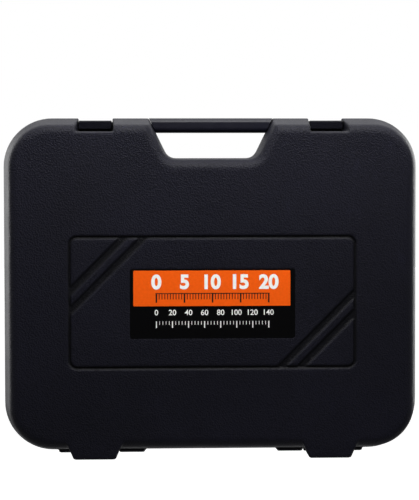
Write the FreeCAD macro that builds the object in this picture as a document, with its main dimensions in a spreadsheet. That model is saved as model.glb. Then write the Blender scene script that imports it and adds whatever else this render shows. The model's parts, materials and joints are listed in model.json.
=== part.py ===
import FreeCAD, Part
import math
import os
import re
import Sketcher

# A pressure tester and vacuum purge kit for cooling systems, in its blow-moulded carrying case.
# X runs along the case, Y from the lid (front, -Y) to the base half (back, +Y), Z is up.
# The case stands on its feet at Z = 0, and its two halves part at Y = 0.

Vector = FreeCAD.Vector
Rotation = FreeCAD.Rotation

document = FreeCAD.newDocument("PressureTester")
sheet = document.addObject("Spreadsheet::Sheet", "Sizes")

# ---------------------------------------------------------------- driving dimensions (mm, degrees)

DIMENSIONS = {
    # case halves
    "case_width": 508, "body_height": 408, "half_depth": 57, "corner_radius": 60,
    "draft_angle": 11, "edge_radius": 12, "rim_wall": 7, "face_wall": 4,
    # feet
    "foot_height": 4.2, "foot_x": 142, "foot_width": 50, "foot_slant": 6.5, "foot_rise": 15,
    "foot_start": 22, "foot_round": 2.5, "base_foot_offset": 43, "base_foot_width": 20,
    # hinge
    "hinge_height": 3.7, "knuckle_radius": 3.5, "hinge_inner": 82, "hinge_outer": 187.5,
    "lid_knuckle_inner": 114.5, "lid_knuckle_outer": 155, "knuckle_gap": 1, "notch_clearance": 0.6,
    "hinge_pin_radius": 1.4, "pin_clearance": 0.06,
    # handle scoop and handle
    "scoop_top_width": 152, "scoop_floor_width": 104, "scoop_depth": 49, "scoop_round": 14,
    "scoop_draft": 4, "handle_height": 18, "handle_depth": 28, "handle_drop": 0.5,
    "handle_gap": 0.3, "handle_round": 6, "lug_length": 22, "lug_height": 10.5, "lug_thickness": 6,
    "lug_front": 2, "lug_drop": 7.5, "boss_radius": 5, "screw_radius": 2, "screw_head_radius": 4,
    "screw_head_height": 2.4, "screw_length": 16,
    # latches
    "latch_x": 141, "notch_width": 41, "notch_depth": 16, "notch_draft": 3, "latch_side_gap": 0.9,
    "latch_pivot_y": 16, "latch_pivot_drop": 9, "latch_barrel": 5, "latch_pin_radius": 1.5,
    "latch_pin_seat": 3, "latch_front_drop": 3.7, "latch_hook_y": 15.5, "latch_lip": 3.5,
    "latch_lip_drop": 13.5, "catch_thickness": 4, "catch_gap": 0.7,
    # panel on the outer faces
    "panel_width": 343, "panel_height": 157, "panel_z": 189, "panel_round": 9, "groove_width": 4,
    "groove_depth": 2.4, "stripe_groove": 8.9, "stripe_depth": 2.2,
    "stripe_corner": 59.5, "stripe_pitch": 23.7, "label_width": 198.5, "label_height": 84, "label_z": 187.6,
    "label_thickness": 0.6, "label_round": 2,
    # tray
    "tray_front": 6, "tray_sheet": 2.5, "tray_margin": 4, "tray_round": 45, "tray_inner_round": 8,
    "pocket_gap": 2.5, "pocket_floor_gap": 0.3,
    # hand pump
    "pump_y": 19, "pump_drop": 127.2, "barrel_left": -50, "barrel_length": 170, "barrel_radius": 17,
    "barrel_bore": 14.5, "cap_length": 12, "cap_radius": 18.5, "spigot_length": 8, "fit_gap": 0.05,
    "edge_break": 1, "rod_radius": 4, "rod_clearance": 0.07, "piston_length": 14,
    "piston_clearance": 0.08, "piston_rest": 10, "seal_radius": 1.5, "grip_offset": 19,
    "grip_radius": 9, "grip_length": 96, "grip_waist": 7.5, "grip_end": 14.4, "grip_socket": 10,
    "pump_stroke": 110, "head_length": 30, "head_radius": 18.5, "head_bore": 5, "button_radius": 4,
    "button_length": 16, "button_proud": 6, "barb_radius": 4.5, "barb_thread": 6.5, "barb_bore": 2.5,
    "barb_wall": 1, "barb_collar": 1.4, "barb_collar_length": 3.3, "barb_neck": 2.2, "barb_pitch": 5.5,
    "stem_length": 9, "stem_radius": 6.5,
    # gauges
    "gauge_front": 1, "gauge_radius": 31, "gauge_depth": 26, "gauge_wall": 2, "bezel_lip": 1.5,
    "bezel_length": 7, "bezel_inset": 3, "lens_thickness": 2, "lens_drop": 2, "dial_drop": 8,
    "dial_thickness": 1, "needle_drop": 5.6, "needle_thickness": 0.8, "needle_hub": 3.2,
    "needle_width": 1.6, "needle_reach": 0.72, "needle_tail": 0.28, "spindle_radius": 1.2,
    "gauge_core": 8, "gauge_boss_length": 3, "vacuum_gauge_radius": 25, "needle_zero": -135,
    # vacuum purge unit
    "purge_y": 27, "purge_z": 128, "purge_left": -190, "purge_length": 100, "purge_radius": 11,
    "purge_bore": 5, "purge_hex": 13, "muffler_length": 20, "muffler_radius": 8,
    "purge_gauge_x": -150, "purge_stem": 9, "nipple_x": -172, "nipple_length": 24,
    "nipple_radius": 5.5, "nipple_neck": 3.6, "nipple_collar": 10.8, "nipple_taper": 1.2,
    "nipple_groove": 3.6, "cone_length": 52, "cone_rim": 7.8, "cone_small": 10, "cone_large": 23,
    "valve_x": -112, "valve_stem_radius": 3, "lever_front": 0.5, "lever_thickness": 2.5,
    "lever_length": 46, "lever_width": 9, "lever_hub": 7,
    # adapters
    "adapter_x": 30, "adapter_pitch_x": 56, "adapter_z": 66, "adapter_pitch_z": 60,
    "adapter_front": 2, "adapter_skirt": 14, "adapter_step": 8, "adapter_nipple": 13,
    "adapter_nipple_radius": 6.5, "adapter_bore": 3, "adapter_wall": 3, "gasket_thickness": 2,
    "gasket_inset": 1.5, "shoulder_ratio": 0.62, "red_radius": 25, "blue_radius": 24,
    "green_radius": 23, "gold_radius": 22, "purple_radius": 24, "black_radius": 25,
    "silver_radius": 22.5, "orange_radius": 21.5, "bronze_radius": 23.5, "teal_radius": 22,
    "pink_radius": 24.5, "grey_radius": 23,
    "spare_cone_height": 36, "spare_cone_top": 11, "spare_cone_base": 24,
}

for row, (alias, number) in enumerate(DIMENSIONS.items(), start=1):
    sheet.set(f"A{row}", alias)
    sheet.set(f"B{row}", str(number))
    sheet.setAlias(f"B{row}", alias)
document.recompute()

# Lengths that follow from the driving dimensions, written as formulas of the sheet's cells.
BODY_TOP = "(foot_height + body_height)"
BODY_MID = "(foot_height + body_height / 2)"
HALF_WIDTH = "(case_width / 2)"
INNER_FACE = "(half_depth - face_wall)"
SCOOP_FLOOR = f"({BODY_TOP} - scoop_depth)"
NOTCH_FLOOR = f"({BODY_TOP} - notch_depth)"
SCOOP_SLOPE = "((scoop_top_width - scoop_floor_width) / 2 / scoop_depth)"
PUMP_Z = f"({BODY_TOP} - pump_drop)"
BARREL_RIGHT = "(barrel_left + barrel_length)"
HEAD_RIGHT = f"({BARREL_RIGHT} + head_length)"
BARBS = 3
BARB_LENGTH = f"(barb_collar_length + barb_neck + {BARBS} * barb_pitch)"
GAUGE_X = f"({HEAD_RIGHT} + stem_length + gauge_radius)"
GRIP_X = "(barrel_left - cap_length - grip_offset)"
PISTON_X = f"({BARREL_RIGHT} - spigot_length - piston_rest - piston_length)"
PURGE_RIGHT = "(purge_left + purge_length)"
PURGE_GAUGE_Z = "(purge_z + purge_radius + purge_stem + vacuum_gauge_radius)"
ADAPTER_BACK = "(adapter_front + adapter_nipple + adapter_step + adapter_skirt)"

# Adapters: colour, column, row; each has its outer radius in the sheet.
ADAPTERS = [
    ("red", 0, 2), ("blue", 1, 2), ("green", 2, 2), ("gold", 3, 2), ("purple", 0, 1), ("black", 1, 1),
    ("silver", 2, 1), ("orange", 3, 1), ("bronze", 0, 0), ("teal", 1, 0), ("pink", 2, 0), ("grey", 3, 0),
]
SPARE_CONES = [(-1, 0), (-2, 0), (-3, 0)]
SPARE_CONE_STEPS = 4


def bound(formula):
    """Turn a formula of cell names into an expression that reads the sheet."""
    return re.sub(r"\b([a-z]+(?:_[a-z]+)+)\b", r"Sizes.\1", str(formula))


def value(formula):
    """The number that a formula of cell names gives."""
    return float(sheet.evalExpression(bound(formula)))


def bind(item, target, formula):
    """Tie one property of a feature to the sheet."""
    item.setExpression(target, bound(formula))


# ---------------------------------------------------------------- sketching helpers

def origin_plane(body, role):
    return [item for item in body.Origin.OriginFeatures if item.Role == role][0]


def new_body(label):
    body = document.addObject("PartDesign::Body", "Body_" + label)
    body.Label = label
    return body


def new_sketch(body, name, plane="XZ_Plane", offset=None):
    sketch = body.newObject("Sketcher::SketchObject", name)
    sketch.AttachmentSupport = [(origin_plane(body, plane), "")]
    sketch.MapMode = "FlatFace"
    if offset is not None:
        bind(sketch, "AttachmentOffset.Base.z", offset)
    return sketch


def fix_point(sketch, element, vertex, corner, point):
    """Hold a sketch point at the formulas of its corner."""
    for kind, formula, number in (("DistanceX", corner[0], point.x), ("DistanceY", corner[1], point.y)):
        index = sketch.addConstraint(Sketcher.Constraint(kind, -1, 1, element, vertex, number))
        bind(sketch, f"Constraints[{index}]", formula)


def rounded(before, point, after, radius):
    """Ends and centre of the arc that rounds one corner."""
    back = (before - point).normalize()
    ahead = (after - point).normalize()
    half_turn = back.getAngle(ahead) / 2
    reach = radius / math.tan(half_turn)
    centre = point + (back + ahead).normalize() * (radius / math.sin(half_turn))
    return point + back * reach, point + ahead * reach, centre


def add_loop(sketch, corners):
    """Draw a closed loop of straight sides; a corner is (x, y) or (x, y, radius)."""
    points = [Vector(value(corner[0]), value(corner[1]), 0) for corner in corners]
    count = len(points)
    ends = []
    for index, corner in enumerate(corners):
        before = points[index - 1]
        after = points[(index + 1) % count]
        if len(corner) == 3:
            ends.append(rounded(before, points[index], after, value(corner[2])))
        else:
            ends.append((points[index], points[index], None))
    sides = []
    for index in range(count):
        start = ends[index][1]
        finish = ends[(index + 1) % count][0]
        sides.append(sketch.addGeometry(Part.LineSegment(start, finish), False))
    for index, corner in enumerate(corners):
        into, out = sides[index - 1], sides[index]
        if len(corner) == 3:
            round_corner(sketch, corner, points, index, ends[index], into, out)
        else:
            sketch.addConstraint(Sketcher.Constraint("Coincident", into, 2, out, 1))
            fix_point(sketch, out, 1, corner, points[index])


def round_corner(sketch, corner, points, index, end, into, out):
    """Join two sides by a tangent arc whose sharp corner stays where the formulas put it."""
    point = points[index]
    after = points[(index + 1) % len(points)]
    turn_left = (point - points[index - 1]).cross(after - point).z > 0
    first, last, centre = end
    angles = [math.atan2(spot.y - centre.y, spot.x - centre.x) for spot in (first, last)]
    if not turn_left:
        angles.reverse()
    circle = Part.Circle(centre, Vector(0, 0, 1), value(corner[2]))
    arc = sketch.addGeometry(Part.ArcOfCircle(circle, *angles), False)
    start_vertex, end_vertex = (1, 2) if turn_left else (2, 1)
    sketch.addConstraint(Sketcher.Constraint("Tangent", into, 2, arc, start_vertex))
    sketch.addConstraint(Sketcher.Constraint("Tangent", out, 1, arc, end_vertex))
    radius = sketch.addConstraint(Sketcher.Constraint("Radius", arc, value(corner[2])))
    bind(sketch, f"Constraints[{radius}]", corner[2])
    sharp = sketch.addGeometry(Part.Point(point), True)
    sketch.addConstraint(Sketcher.Constraint("PointOnObject", sharp, 1, into))
    sketch.addConstraint(Sketcher.Constraint("PointOnObject", sharp, 1, out))
    fix_point(sketch, sharp, 1, corner, point)


def add_circle(sketch, x, y, radius):
    centre = Vector(value(x), value(y), 0)
    circle = sketch.addGeometry(Part.Circle(centre, Vector(0, 0, 1), value(radius)), False)
    index = sketch.addConstraint(Sketcher.Constraint("Radius", circle, value(radius)))
    bind(sketch, f"Constraints[{index}]", radius)
    fix_point(sketch, circle, 3, (x, y), centre)


def rectangle(left, right, low, high, radius=None):
    """Corners of an upright rectangle, counter-clockwise."""
    corners = [(left, low), (right, low), (right, high), (left, high)]
    if radius is None:
        return corners
    return [corner + (radius,) for corner in corners]


def loop_sketch(body, name, loops, plane="XZ_Plane", offset=None):
    sketch = new_sketch(body, name, plane, offset)
    for loop in loops:
        add_loop(sketch, loop)
    return sketch


def extrude(body, kind, sketch, length, reverse=False, taper=None):
    """Pad or Pocket a sketch by a bound length."""
    feature = body.newObject("PartDesign::" + kind, kind + "_" + sketch.Name)
    feature.Profile = sketch
    bind(feature, "Length", length)
    feature.Reversed = reverse
    if taper is not None:
        bind(feature, "TaperAngle", taper)
    return feature


def round_edges(body, name, radius, chosen):
    """Round the edges of the body's last feature that the test chooses."""
    document.recompute()
    base = body.Tip
    names = [f"Edge{number}" for number, edge in enumerate(base.Shape.Edges, start=1) if chosen(edge)]
    feature = body.newObject("PartDesign::Fillet", name)
    feature.Base = (base, names)
    bind(feature, "Radius", radius)
    return feature


def all_near(edge, axis, number, tolerance=0.001):
    """Does the whole edge lie at one height along an axis?"""
    box = edge.BoundBox
    low, high = getattr(box, axis + "Min"), getattr(box, axis + "Max")
    return abs(low - number) < tolerance and abs(high - number) < tolerance


def place(item, x, y, z, rotation=None):
    """Give a sub-part its bound position and its rotation."""
    if rotation is not None:
        item.Placement.Rotation = rotation
    for axis, formula in zip("xyz", (x, y, z)):
        bind(item, f".Placement.Base.{axis}", formula)
    return item


ALONG_X = Rotation(Vector(0, 0, 1), Vector(1, 0, 0))
BACKWARD_X = Rotation(Vector(0, 0, 1), Vector(-1, 0, 0))
TO_FRONT = Rotation(Vector(0, 0, 1), Vector(0, -1, 0))
TO_BACK = Rotation(Vector(0, 0, 1), Vector(0, 1, 0))
DOWNWARD = Rotation(Vector(1, 0, 0), 180)
UPWARD = Rotation()


def turned(label, profile, position, direction):
    """A turned piece: corners are (radius, distance along the axis) around its own +Z."""
    body = new_body(label)
    sketch = loop_sketch(body, "Profile_" + label, [profile])
    document.recompute()
    revolution = body.newObject("PartDesign::Revolution", "Turn_" + label)
    revolution.Profile = sketch
    revolution.ReferenceAxis = (sketch, ["V_Axis"])
    revolution.Angle = 360
    return place(body, *position, direction)


def compound(label, items):
    group = document.addObject("Part::Compound", "Group_" + label)
    group.Label = label
    group.Links = items
    return group


def cylinder(label, radius, length, position, direction):
    item = document.addObject("Part::Cylinder", "Cylinder_" + label)
    item.Label = label
    bind(item, "Radius", radius)
    bind(item, "Height", length)
    return place(item, *position, direction)


# ---------------------------------------------------------------- case halves

def scoop_corners(grow, top):
    """The handle scoop's outline, grown on all sides, up to a height above the case."""
    slope = f"({SCOOP_SLOPE})"
    top_half = f"(scoop_top_width / 2 + {slope} * ({top}) + {grow})"
    low_half = f"(scoop_floor_width / 2 + {grow})"
    floor = f"({SCOOP_FLOOR} - {grow})"
    return [
        (f"-{top_half}", f"{BODY_TOP} + ({top})"), (f"-{low_half}", floor, "scoop_round"),
        (low_half, floor, "scoop_round"), (top_half, f"{BODY_TOP} + ({top})"),
    ]


def notch_corners(side, grow):
    """A latch notch's outline, grown on all sides."""
    centre = f"({side} * latch_x)"
    half = f"(notch_width / 2 + {grow})"
    return rectangle(f"{centre} - {half}", f"{centre} + {half}", f"{NOTCH_FLOOR} - {grow}",
                     f"{BODY_TOP} + notch_depth")


def case_outline(inset):
    """The case's rounded outline at the parting plane, drawn in by a wall."""
    half = f"({HALF_WIDTH} - {inset})"
    return rectangle(f"-{half}", half, f"foot_height + {inset}", f"{BODY_TOP} - {inset}",
                     f"corner_radius - {inset}")


def foot_places(is_lid):
    """Centre and width of each foot: the base half's stand on both sides of the lid's, so that
    they pass beside each other when the lid lies fully open."""
    if is_lid:
        return [(f"({side} * foot_x)", "foot_width") for side in (-1, 1)]
    return [(f"({side} * foot_x + {shift} * base_foot_offset)", "base_foot_width")
            for side in (-1, 1) for shift in (-1, 1)]


def foot_corners(centre, width):
    """A foot's trapezoid, standing on the ground and running up into the body."""
    low = f"({width} / 2)"
    slope = "(foot_slant / foot_rise)"
    height = "(foot_height + half_depth / 2)"
    high = f"({low} + {slope} * {height})"
    return [(f"{centre} - {low}", "0"), (f"{centre} + {low}", "0"), (f"{centre} + {high}", height),
            (f"{centre} - {high}", height)]


def knuckle_spans(is_lid):
    """The stretches of |X| that this half's hinge knuckles fill."""
    if is_lid:
        return [("lid_knuckle_inner", "lid_knuckle_outer")]
    return [("hinge_inner", "(lid_knuckle_inner - knuckle_gap)"),
            ("(lid_knuckle_outer + knuckle_gap)", "hinge_outer")]


def along_hinge(body, kind, name, spans, radius, grow="0"):
    """Pad or cut round stretches about the hinge axis on both sides of the case."""
    for number, (inner, outer) in enumerate(spans):
        for side_name, side in (("right", 1), ("left", -1)):
            start = inner if side > 0 else outer
            sketch = new_sketch(body, f"{name}_{number}_{side_name}", "YZ_Plane",
                                f"{side} * {start} - {grow}")
            add_circle(sketch, "0", "hinge_height", radius)
            extrude(body, kind, sketch, f"{outer} - {inner} + 2 * {grow}", reverse=kind == "Pocket")


def case_cavity(name, is_lid):
    """The hollow of one half, with the walls of the scoop and the notches left standing in it."""
    body = new_body(name + "_cavity")
    block = loop_sketch(body, name + "_hollow", [case_outline("rim_wall")])
    extrude(body, "Pad", block, INNER_FACE, reverse=not is_lid, taper="-draft_angle")
    walls = loop_sketch(body, name + "_scoop_wall", [scoop_corners("rim_wall", "scoop_round")])
    extrude(body, "Pocket", walls, "half_depth", reverse=is_lid)
    notch_walls = loop_sketch(body, name + "_notch_walls",
                              [notch_corners(side, "rim_wall") for side in (-1, 1)])
    extrude(body, "Pocket", notch_walls, "half_depth", reverse=is_lid)
    return body


def case_half(name, is_lid):
    """Outer form of one half: drafted sides, scoop, rounded face edges, notches, feet, knuckles."""
    body = new_body(name + "_outer")
    outline = loop_sketch(body, name + "_outline", [case_outline("0")])
    extrude(body, "Pad", outline, "half_depth", reverse=not is_lid, taper="-draft_angle")
    scoop = loop_sketch(body, name + "_scoop", [scoop_corners("0", "scoop_round")])
    extrude(body, "Pocket", scoop, "half_depth", reverse=is_lid, taper="scoop_draft")
    face = value("half_depth") * (-1 if is_lid else 1)
    round_edges(body, name + "_face_edges", "edge_radius", lambda edge: all_near(edge, "Y", face))
    for side_name, side in (("left", -1), ("right", 1)):
        notch = loop_sketch(body, f"{name}_notch_{side_name}", [notch_corners(side, "0")])
        extrude(body, "Pocket", notch, "half_depth", reverse=is_lid, taper="notch_draft")
    start = "foot_start" if is_lid else "-foot_start"
    for number, (centre, width) in enumerate(foot_places(is_lid)):
        foot = loop_sketch(body, f"{name}_foot_{number}", [foot_corners(centre, width)], offset=start)
        extrude(body, "Pad", foot, "half_depth - foot_start", reverse=not is_lid)
    round_edges(body, name + "_foot_edges", "foot_round",
                lambda edge: all_near(edge, "Z", 0))
    along_hinge(body, "Pad", name + "_knuckle", knuckle_spans(is_lid), "knuckle_radius")
    along_hinge(body, "Pocket", name + "_knuckle_notch", knuckle_spans(not is_lid),
                "knuckle_radius + notch_clearance", grow="knuckle_gap")
    along_hinge(body, "Pocket", name + "_pin_bore", [("hinge_inner", "hinge_outer")],
                "hinge_pin_radius + pin_clearance", grow="knuckle_gap")
    return body


def panel_grooves(body, name, is_lid):
    """A rounded frame groove in the outer face, around the label's place."""
    half_wide, half_high = "(panel_width / 2)", "(panel_height / 2)"
    loops = []
    for grow in ("(groove_width / 2)", "(-groove_width / 2)"):
        loops.append(rectangle(f"-{half_wide} - {grow}", f"{half_wide} + {grow}",
                               f"panel_z - {half_high} - {grow}", f"panel_z + {half_high} + {grow}",
                               f"panel_round + {grow}"))
    face = "half_depth" if is_lid else "-half_depth"
    sketch = loop_sketch(body, name + "_frame_groove", loops, offset=face)
    extrude(body, "Pocket", sketch, "groove_depth", reverse=not is_lid)


def stripe_corners(turn, distance):
    """A diagonal groove across a corner of the panel: turn -1 is top left, 1 is bottom right."""
    half_wide = "(panel_width / 2)"
    half_high = "(panel_height / 2)"
    corners = []
    for reach in (distance, f"({distance} + stripe_groove * sqrt(2))"):
        corners.append((f"{turn} * ({half_wide} - {reach})", f"panel_z - {turn} * {half_high}"))
        corners.append((f"{turn} * {half_wide}", f"panel_z - {turn} * ({half_high} - {reach})"))
    return [corners[0], corners[1], corners[3], corners[2]]


def label_outline(grow):
    half = f"(label_width / 2 + {grow})"
    high = f"(label_height / 2 + {grow})"
    return rectangle(f"-{half}", half, f"label_z - {high}", f"label_z + {high}", "label_round")


def label_recess(body):
    """A shallow seat in the lid's face that the label lies flush in."""
    sketch = loop_sketch(body, "label_recess", [label_outline("fit_gap")], offset="half_depth")
    extrude(body, "Pocket", sketch, "label_thickness")


def diagonal_stripes(body):
    """Two pairs of diagonal grooves with a ridge between them, across two corners of the panel."""
    for name, turn in (("top", -1), ("bottom", 1)):
        for number in range(2):
            distance = f"(stripe_corner + {number} * stripe_pitch)"
            sketch = loop_sketch(body, f"stripe_{name}_{number}", [stripe_corners(turn, distance)],
                                 offset="half_depth")
            extrude(body, "Pocket", sketch, "stripe_depth")


def latch_catches(body):
    """The rib in each notch of the lid that the latch hooks over."""
    for side_name, side in (("left", -1), ("right", 1)):
        half = "(notch_width / 2 + rim_wall / 2)"
        low = f"{NOTCH_FLOOR} - face_wall"
        high = f"{BODY_TOP} - latch_pivot_drop - catch_gap"
        sketch = loop_sketch(body, "catch_" + side_name, [rectangle(
            f"{side} * latch_x - {half}", f"{side} * latch_x + {half}", low, high)],
            offset="latch_hook_y - catch_gap - catch_thickness")
        extrude(body, "Pad", sketch, "catch_thickness")


def handle_seats(body):
    """Slots through the base half's scoop walls for the handle's lugs."""
    for side_name, side in (("left", -1), ("right", 1)):
        inner = "(scoop_floor_width / 2)"
        outer = "(scoop_top_width / 2 + lug_length)"
        low = f"{BODY_TOP} - lug_drop - lug_height - handle_gap"
        high = f"{BODY_TOP} - lug_drop + handle_gap"
        left, right = (inner, outer) if side > 0 else (f"-{outer}", f"-{inner}")
        slot = loop_sketch(body, "lug_slot_" + side_name, [rectangle(left, right, low, high)])
        extrude(body, "Pocket", slot, "lug_front + lug_thickness")


def latch_pin_bores(body):
    """Holes in the side walls of the base half's notches, for the latch pins."""
    for side_name, side in (("left", -1), ("right", 1)):
        reach = "(notch_width / 2 + latch_pin_seat)"
        sketch = new_sketch(body, "latch_pin_bore_" + side_name, "YZ_Plane",
                            f"{side} * latch_x - {reach}")
        add_circle(sketch, "latch_pivot_y", f"{BODY_TOP} - latch_pivot_drop",
                   "latch_pin_radius + pin_clearance")
        extrude(body, "Pocket", sketch, f"2 * {reach}", reverse=True)


def handle_boss_position(side):
    return f"{side} * (scoop_top_width / 2 + lug_length - boss_radius - handle_gap)"


HANDLE_BOSS_Z = f"({BODY_TOP} - lug_drop - lug_height / 2)"


def shell(label, outer, cavity, extra=()):
    """A case half: the outer form less its cavity, with bosses added inside."""
    cut = document.addObject("Part::Cut", "Cut_" + label)
    cut.Base = outer
    cut.Tool = cavity
    if not extra:
        cut.Label = label
        return cut
    fuse = document.addObject("Part::MultiFuse", "Fuse_" + label)
    fuse.Shapes = [cut, *extra]
    fuse.Label = label
    return fuse


def build_lid():
    outer = case_half("lid", True)
    panel_grooves(outer, "lid", True)
    label_recess(outer)
    diagonal_stripes(outer)
    latch_catches(outer)
    return shell("lid_shell", outer, case_cavity("lid", True))


def build_base():
    outer = case_half("base", False)
    panel_grooves(outer, "base", False)
    handle_seats(outer)
    latch_pin_bores(outer)
    cavity = case_cavity("base", False)
    bosses = []
    for side_name, side in (("left", -1), ("right", 1)):
        boss = turned("handle_boss_" + side_name,
                      [("screw_radius", "0"), ("boss_radius", "0"),
                       ("boss_radius", f"{INNER_FACE} + face_wall / 2 - lug_front - lug_thickness"),
                       ("screw_radius", f"{INNER_FACE} + face_wall / 2 - lug_front - lug_thickness")],
                      (handle_boss_position(side), "lug_front + lug_thickness", HANDLE_BOSS_Z), TO_BACK)
        bosses.append(boss)
    return shell("base_shell", outer, cavity, bosses)


def build_handle():
    """The fixed grip across the scoop, with a lug at each end that reaches into the base half."""
    body = new_body("carry_handle")
    top = f"({BODY_TOP} - handle_drop)"
    low = f"({BODY_TOP} - handle_height)"
    half_top = f"(scoop_top_width / 2 - {SCOOP_SLOPE} * handle_drop - handle_gap)"
    half_low = f"(scoop_top_width / 2 - {SCOOP_SLOPE} * handle_height - handle_gap)"
    bar = loop_sketch(body, "handle_bar", [[(f"-{half_low}", low), (half_low, low), (half_top, top),
                                            (f"-{half_top}", top)]], offset="-handle_depth / 2")
    extrude(body, "Pad", bar, "handle_depth")
    half_depth = value("handle_depth / 2")
    round_edges(body, "handle_rounds", "handle_round",
                lambda edge: any(all_near(edge, "Y", y) for y in (-half_depth, half_depth))
                and edge.BoundBox.XLength > value("scoop_floor_width"))
    for side_name, side in (("left", -1), ("right", 1)):
        inner = "(scoop_floor_width / 2)"
        outer = "(scoop_top_width / 2 + lug_length - handle_gap)"
        left, right = (inner, outer) if side > 0 else (f"-{outer}", f"-{inner}")
        lug = loop_sketch(body, "lug_" + side_name,
                          [rectangle(left, right, f"{BODY_TOP} - lug_drop - lug_height",
                                     f"{BODY_TOP} - lug_drop")],
                          offset="-lug_front - lug_thickness")
        extrude(body, "Pad", lug, "lug_thickness")
        hole = new_sketch(body, "lug_hole_" + side_name)
        add_circle(hole, handle_boss_position(side), HANDLE_BOSS_Z, "screw_radius + fit_gap")
        extrude(body, "Pocket", hole, "handle_depth")
    return body


def build_handle_screws():
    screws = []
    for side_name, side in (("left", -1), ("right", 1)):
        shank = "(screw_radius - fit_gap)"
        screws.append(turned("handle_screw_" + side_name,
                             [("0", "-screw_head_height"), ("screw_head_radius", "-screw_head_height"),
                              ("screw_head_radius", "0"), (shank, "0"), (shank, "screw_length"),
                              ("0", "screw_length")],
                             (handle_boss_position(side), "lug_front", HANDLE_BOSS_Z), TO_BACK))
    return compound("handle_screws", screws)


def build_hinge_pins():
    pins = []
    for name, start in (("left", "-hinge_outer"), ("right", "hinge_inner")):
        pins.append(cylinder("hinge_pin_" + name, "hinge_pin_radius", "hinge_outer - hinge_inner",
                             (start, "0", "hinge_height"), ALONG_X))
    return compound("hinge_pins", pins)


def build_latch(name, side):
    """A latch lever: barrel on its pin in the base half, arm across the parting, lip at the front."""
    body = new_body(name)
    width = "(notch_width - 2 * latch_side_gap)"
    start = f"{side} * latch_x - {width} / 2"
    top = f"({BODY_TOP} - latch_front_drop)"
    under = f"({BODY_TOP} - latch_pivot_drop)"
    tip = f"({BODY_TOP} - latch_lip_drop)"
    front = "(-latch_hook_y - latch_lip)"
    profile = [("latch_pivot_y", f"{under} + latch_barrel"), (front, top, "latch_lip / 2"),
               (front, tip), ("-latch_hook_y", tip), ("-latch_hook_y", under),
               ("latch_pivot_y", under)]
    arm = loop_sketch(body, name + "_arm", [profile], plane="YZ_Plane", offset=start)
    extrude(body, "Pad", arm, width)
    barrel = new_sketch(body, name + "_barrel", "YZ_Plane", start)
    add_circle(barrel, "latch_pivot_y", under, "latch_barrel")
    extrude(body, "Pad", barrel, width)
    bore = new_sketch(body, name + "_bore", "YZ_Plane", start)
    add_circle(bore, "latch_pivot_y", under, "latch_pin_radius + pin_clearance")
    extrude(body, "Pocket", bore, width, reverse=True)
    return body


def build_latch_pins():
    pins = []
    length = "(notch_width + 2 * latch_pin_seat)"
    for name, side in (("left", -1), ("right", 1)):
        pins.append(cylinder("latch_pin_" + name, "latch_pin_radius", length,
                             (f"{side} * latch_x - {length} / 2", "latch_pivot_y",
                              f"{BODY_TOP} - latch_pivot_drop"), ALONG_X))
    return compound("latch_pins", pins)


def build_label():
    body = new_body("label_plate")
    sketch = loop_sketch(body, "label_outline", [label_outline("0")],
                         offset="half_depth - label_thickness")
    extrude(body, "Pad", sketch, "label_thickness")
    return body


# ---------------------------------------------------------------- tray

def adapter_place(column, row):
    return f"(adapter_x + {column} * adapter_pitch_x)", f"(adapter_z + {row} * adapter_pitch_z)"


def tray_pockets(grow):
    """The tray's pockets grown by a wall: each a loop or a circle, with the depth of its floor."""
    near = f"(pocket_gap + {grow})"
    swing = f"(grip_length / 2 + {near})"
    pump_floor = "(pump_y + cap_radius + pocket_floor_gap)"
    purge_floor = "(purge_y + cone_large + pocket_floor_gap)"
    loops = [
        (rectangle(f"{GRIP_X} - pump_stroke - grip_radius - {near}", f"{GRIP_X} + grip_radius + {near}",
                   f"{PUMP_Z} - {swing}", f"{PUMP_Z} + {swing}"), pump_floor),
        (rectangle(GRIP_X, f"{BARREL_RIGHT} + {near}", f"{PUMP_Z} - cap_radius - {near}",
                   f"{PUMP_Z} + cap_radius + {near}"), pump_floor),
        (rectangle(f"{BARREL_RIGHT} - {near}", f"{HEAD_RIGHT} + {near}",
                   f"{PUMP_Z} - head_radius - {BARB_LENGTH} - {near}",
                   f"{PUMP_Z} + head_radius + button_proud + {near}"), pump_floor),
        (rectangle(HEAD_RIGHT, GAUGE_X, f"{PUMP_Z} - stem_radius - {near}",
                   f"{PUMP_Z} + stem_radius + {near}"), "(gauge_front + gauge_depth)"),
        (rectangle(f"purge_left - muffler_length - {near}", f"{PURGE_RIGHT} + cone_length + {near}",
                   f"purge_z - cone_large - {near}", f"purge_z + cone_large + {near}"), purge_floor),
        (rectangle(f"nipple_x - purge_hex - {near}", f"nipple_x + purge_hex + {near}",
                   f"purge_z - purge_radius - nipple_length - {near}", "purge_z"), purge_floor),
    ]
    circles = [
        (GAUGE_X, PUMP_Z, f"(gauge_radius + bezel_lip + {near})", "(gauge_front + gauge_depth)"),
        ("purge_gauge_x", PURGE_GAUGE_Z, f"(vacuum_gauge_radius + bezel_lip + {near})",
         "(gauge_front + gauge_depth)"),
    ]
    for colour, column, row in ADAPTERS:
        circles.append((*adapter_place(column, row), f"({colour}_radius + {near})", ADAPTER_BACK))
    for column, row in SPARE_CONES:
        circles.append((*adapter_place(column, row), f"(spare_cone_base + {near})",
                        "(adapter_front + spare_cone_height)"))
    return loops, circles


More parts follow.
